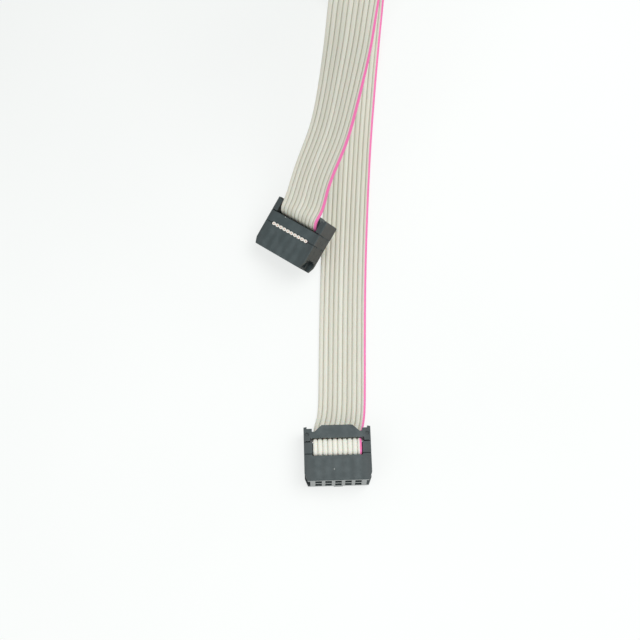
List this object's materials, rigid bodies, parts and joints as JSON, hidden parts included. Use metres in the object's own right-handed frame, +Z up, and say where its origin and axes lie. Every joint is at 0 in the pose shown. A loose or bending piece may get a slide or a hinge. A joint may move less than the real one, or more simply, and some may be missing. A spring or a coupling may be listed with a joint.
{
  "type": "ribbon cable",
  "caption": "Flat ribbon cable with a marked edge wire and a keyed two-row press-on socket with strain relief on each end, laid out with one free loop.",
  "frame": {"origin": "bottom centre of the front socket, which the ribbon leaves, on the surface that the cable lies on", "axes": "+X along the front socket's row of wires towards the marked edge, +Y from its openings towards its ribbon, +Z up"},
  "size_m": [0.0396, 0.1569, 0.0581],
  "materials": {
    "ribbon_insulation": "soft grey flat cable insulation with a pink stripe on one edge",
    "socket_plastic": "fine matt moulded black plastic",
    "contact_metal": "plain spring bronze"
  },
  "bodies": {
    "root": {"ribbon": "ribbon_insulation", "front_socket_body": "socket_plastic", "front_cover": "socket_plastic", "front_strain_relief": "socket_plastic", "rear_socket_body": "socket_plastic", "rear_cover": "socket_plastic", "rear_strain_relief": "socket_plastic", "front_contact_1": "contact_metal", "front_contact_2": "contact_metal", "front_contact_3": "contact_metal", "front_contact_4": "contact_metal", "front_contact_5": "contact_metal", "front_contact_6": "contact_metal", "front_contact_7": "contact_metal", "front_contact_8": "contact_metal", "front_contact_9": "contact_metal", "front_contact_10": "contact_metal", "rear_contact_1": "contact_metal", "rear_contact_2": "contact_metal", "rear_contact_3": "contact_metal", "rear_contact_4": "contact_metal", "rear_contact_5": "contact_metal", "rear_contact_6": "contact_metal", "rear_contact_7": "contact_metal", "rear_contact_8": "contact_metal", "rear_contact_9": "contact_metal", "rear_contact_10": "contact_metal"}
  },
  "joints": []
}
